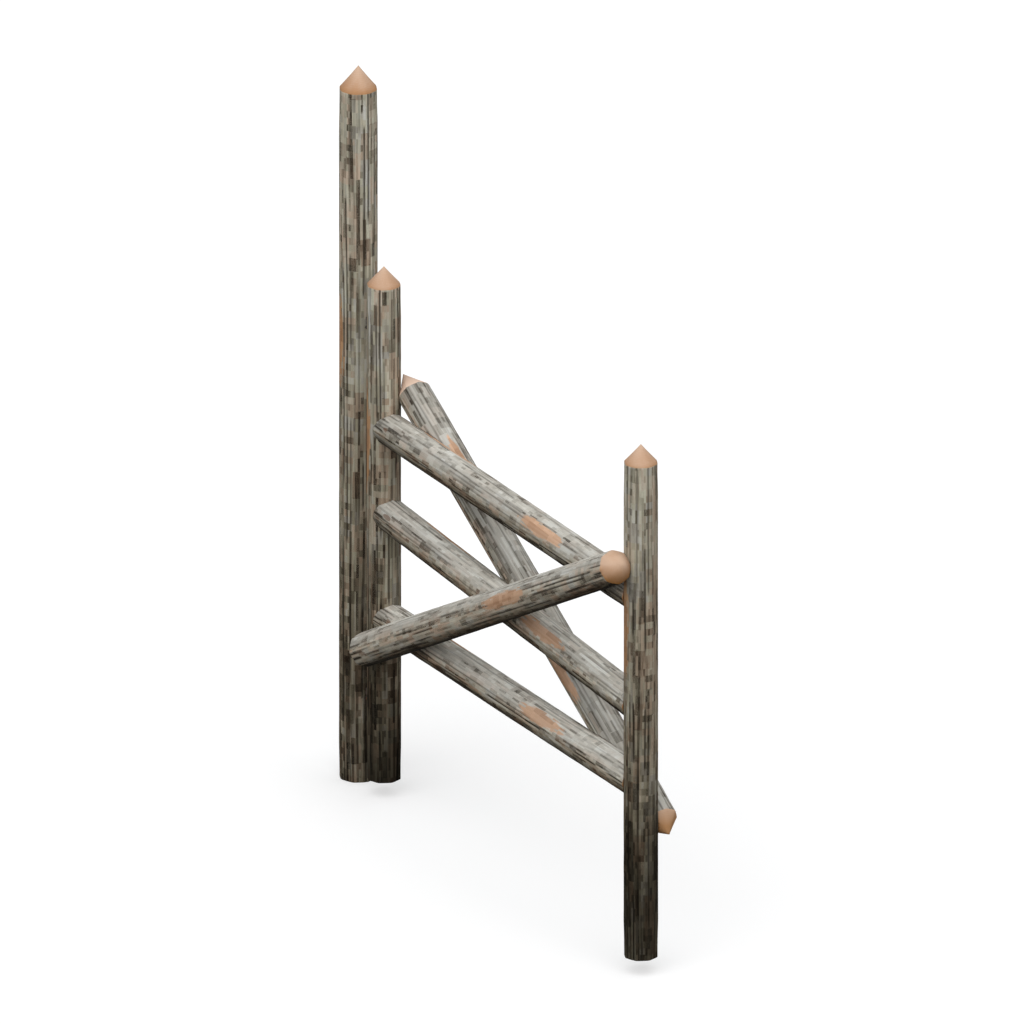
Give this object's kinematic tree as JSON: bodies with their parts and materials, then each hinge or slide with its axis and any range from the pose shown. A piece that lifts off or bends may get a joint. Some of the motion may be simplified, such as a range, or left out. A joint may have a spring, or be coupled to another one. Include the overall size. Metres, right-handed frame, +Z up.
{
  "type": "pole gate",
  "caption": "Rustic round-pole gate leaf with three coped rails and crossed braces, hung on hook-and-eye hinges from a tall pointed post.",
  "frame": {"origin": "centre of the hanging post's foot, at ground level", "axes": "+X along the closed leaf from the hanging post to the free end, +Z up, -Y towards the face whose brace rises to the free end"},
  "size_m": [2.355, 0.3362, 2.782],
  "materials": {
    "post_bark": "weathered bark with fine long fissures, bare hewn point",
    "pole_bark": "pale weathered bark with bare patches, bare hewn points",
    "iron": "dark forged iron, lightly rusted"
  },
  "bodies": {
    "post": {"hanging_post": "post_bark", "lower_hook": "iron", "upper_hook": "iron"},
    "leaf": {"heel_stile": "post_bark", "head_stile": "post_bark", "top_rail": "pole_bark", "middle_rail": "pole_bark", "bottom_rail": "pole_bark", "front_brace": "pole_bark", "back_brace": "pole_bark", "lower_eye": "iron", "upper_eye": "iron"}
  },
  "joints": [
    {"name": "leaf_swing", "type": "hinge", "parent": "post", "child": "leaf", "pos_m": [0.0928, 0, 0.064], "axis": [0, 0, 1], "range_deg": [-90, 90]}
  ]
}
